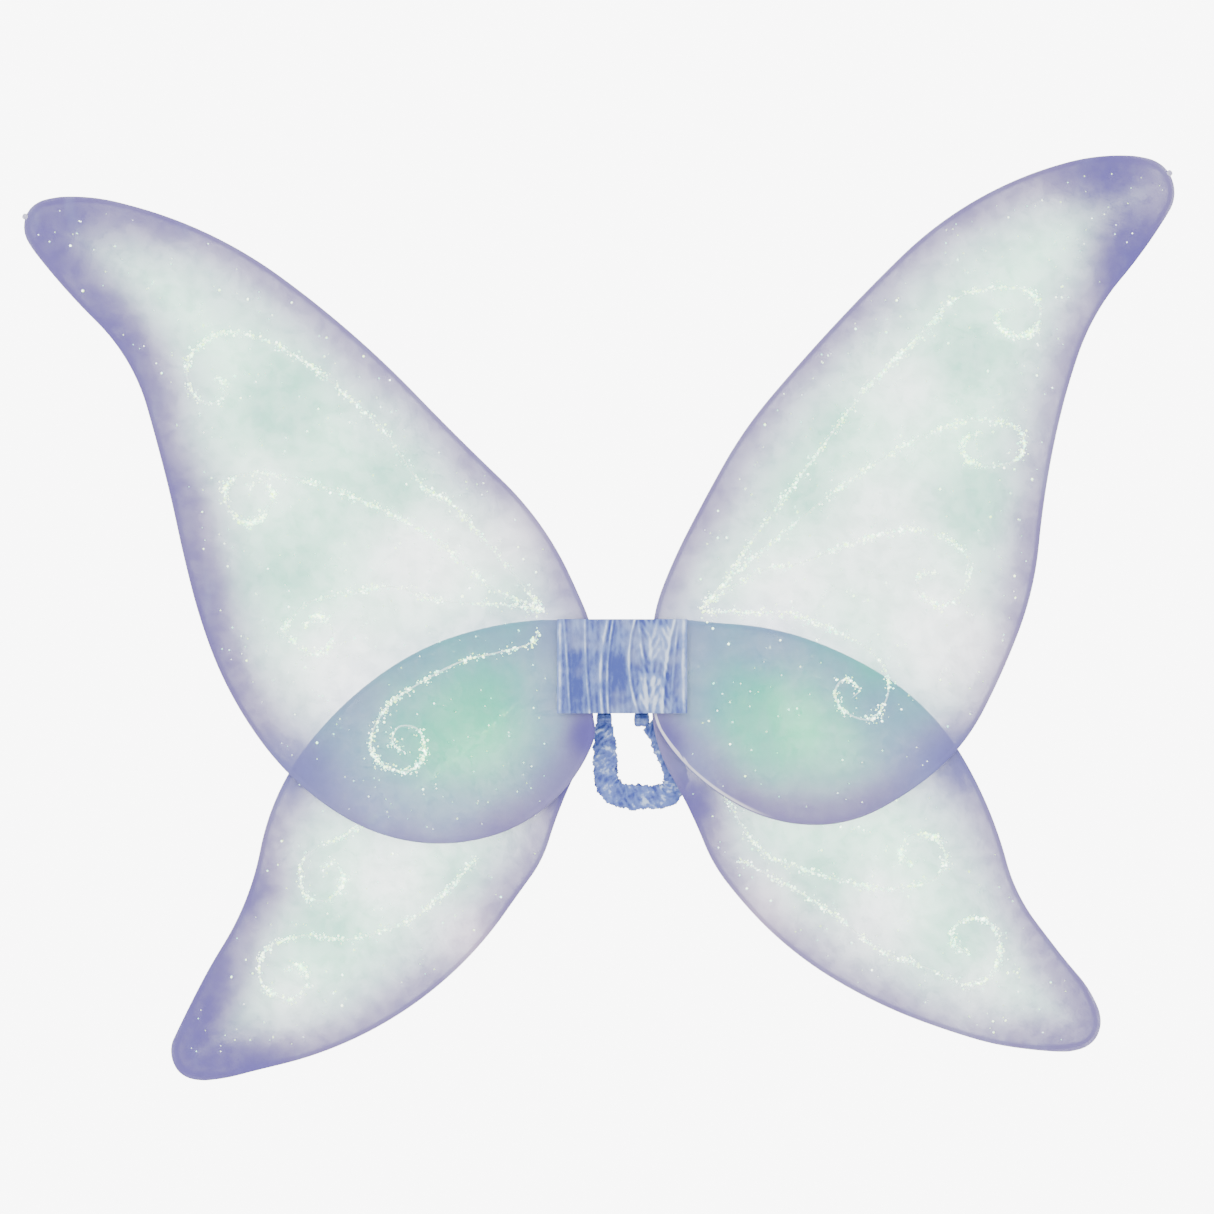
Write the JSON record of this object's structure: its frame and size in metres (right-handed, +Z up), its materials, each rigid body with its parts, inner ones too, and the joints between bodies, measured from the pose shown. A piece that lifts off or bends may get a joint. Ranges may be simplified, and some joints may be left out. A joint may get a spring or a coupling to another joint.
{
  "type": "costume fairy wings",
  "caption": "Pair of sheer dyed costume fairy wings: nylon stretched over wire loops on a satin-wrapped centre, with elastic arm straps that hang below it.",
  "frame": {"origin": "centre of the back pad's resting face, level with the middle of the satin wrap", "axes": "+X across the wings, +Z up, +Y out of the pad towards the wearer's back, so -Y is the side that is seen"},
  "size_m": [0.6167, 0.0237, 0.489],
  "materials": {
    "wire": "smooth white coating",
    "nylon_upper": "sheer knitted nylon, dyed",
    "nylon_lower": "sheer knitted nylon, dyed",
    "ferrule": "crimped",
    "thread": "tightly wound thread",
    "toe_seam": "pale gathered nylon",
    "casing": "plain woven tape",
    "felt": "felt",
    "pad": "padded satin",
    "satin": "pleated satin",
    "elastic": "woven elastic",
    "strap_satin": "ruched satin",
    "strap_end": "stitched satin"
  },
  "bodies": {
    "hub": {"core": "felt", "cover_front": "satin", "cover_back": "satin", "back_pad": "pad", "leg_casing_left": "casing", "leg_casing_right": "casing", "strap_stub_left": "strap_end", "strap_stub_right": "strap_end"},
    "wing_upper_left": {"upper_wire_left": "wire", "upper_nylon_left": "nylon_upper", "upper_ferrule_left": "ferrule", "leg_binding_top_left": "thread", "leg_binding_bottom_left": "thread", "cover_flap_front_left": "satin", "toe_seam_left": "toe_seam"},
    "wing_lower_left": {"lower_wire_left": "wire", "lower_nylon_left": "nylon_lower", "lower_ferrule_left": "ferrule", "cover_flap_back_left": "satin"},
    "wing_upper_right": {"upper_wire_right": "wire", "upper_nylon_right": "nylon_upper", "upper_ferrule_right": "ferrule", "leg_binding_top_right": "thread", "leg_binding_bottom_right": "thread", "cover_flap_front_right": "satin", "toe_seam_right": "toe_seam"},
    "wing_lower_right": {"lower_wire_right": "wire", "lower_nylon_right": "nylon_lower", "lower_ferrule_right": "ferrule", "cover_flap_back_right": "satin"},
    "arm_straps": {"strap_sleeve_front": "strap_satin", "strap_sleeve_back": "strap_satin", "strap_elastic_front": "elastic", "strap_elastic_back": "elastic", "strap_seam_left": "strap_end", "strap_seam_right": "strap_end"}
  },
  "joints": [
    {"name": "fold_left", "type": "hinge", "parent": "hub", "child": "wing_upper_left", "pos_m": [-0.017, -0.017, 0], "axis": [0, 0, 1], "range_deg": [-4, 75]},
    {"name": "fold_right", "type": "hinge", "parent": "hub", "child": "wing_upper_right", "pos_m": [0.017, -0.017, 0], "axis": [0, 0, -1], "range_deg": [-4, 75]},
    {"name": "splay_left", "type": "hinge", "parent": "wing_upper_left", "child": "wing_lower_left", "pos_m": [-0.017, -0.0154, 0], "axis": [0, 0, 1], "range_deg": [-10, 0]},
    {"name": "splay_right", "type": "hinge", "parent": "wing_upper_right", "child": "wing_lower_right", "pos_m": [0.017, -0.0154, 0], "axis": [0, 0, -1], "range_deg": [-10, 0]},
    {"name": "strap_swing", "type": "hinge", "parent": "hub", "child": "arm_straps", "pos_m": [0, -0.00575, -0.0275], "axis": [1, 0, 0], "range_deg": [0, 90]}
  ]
}
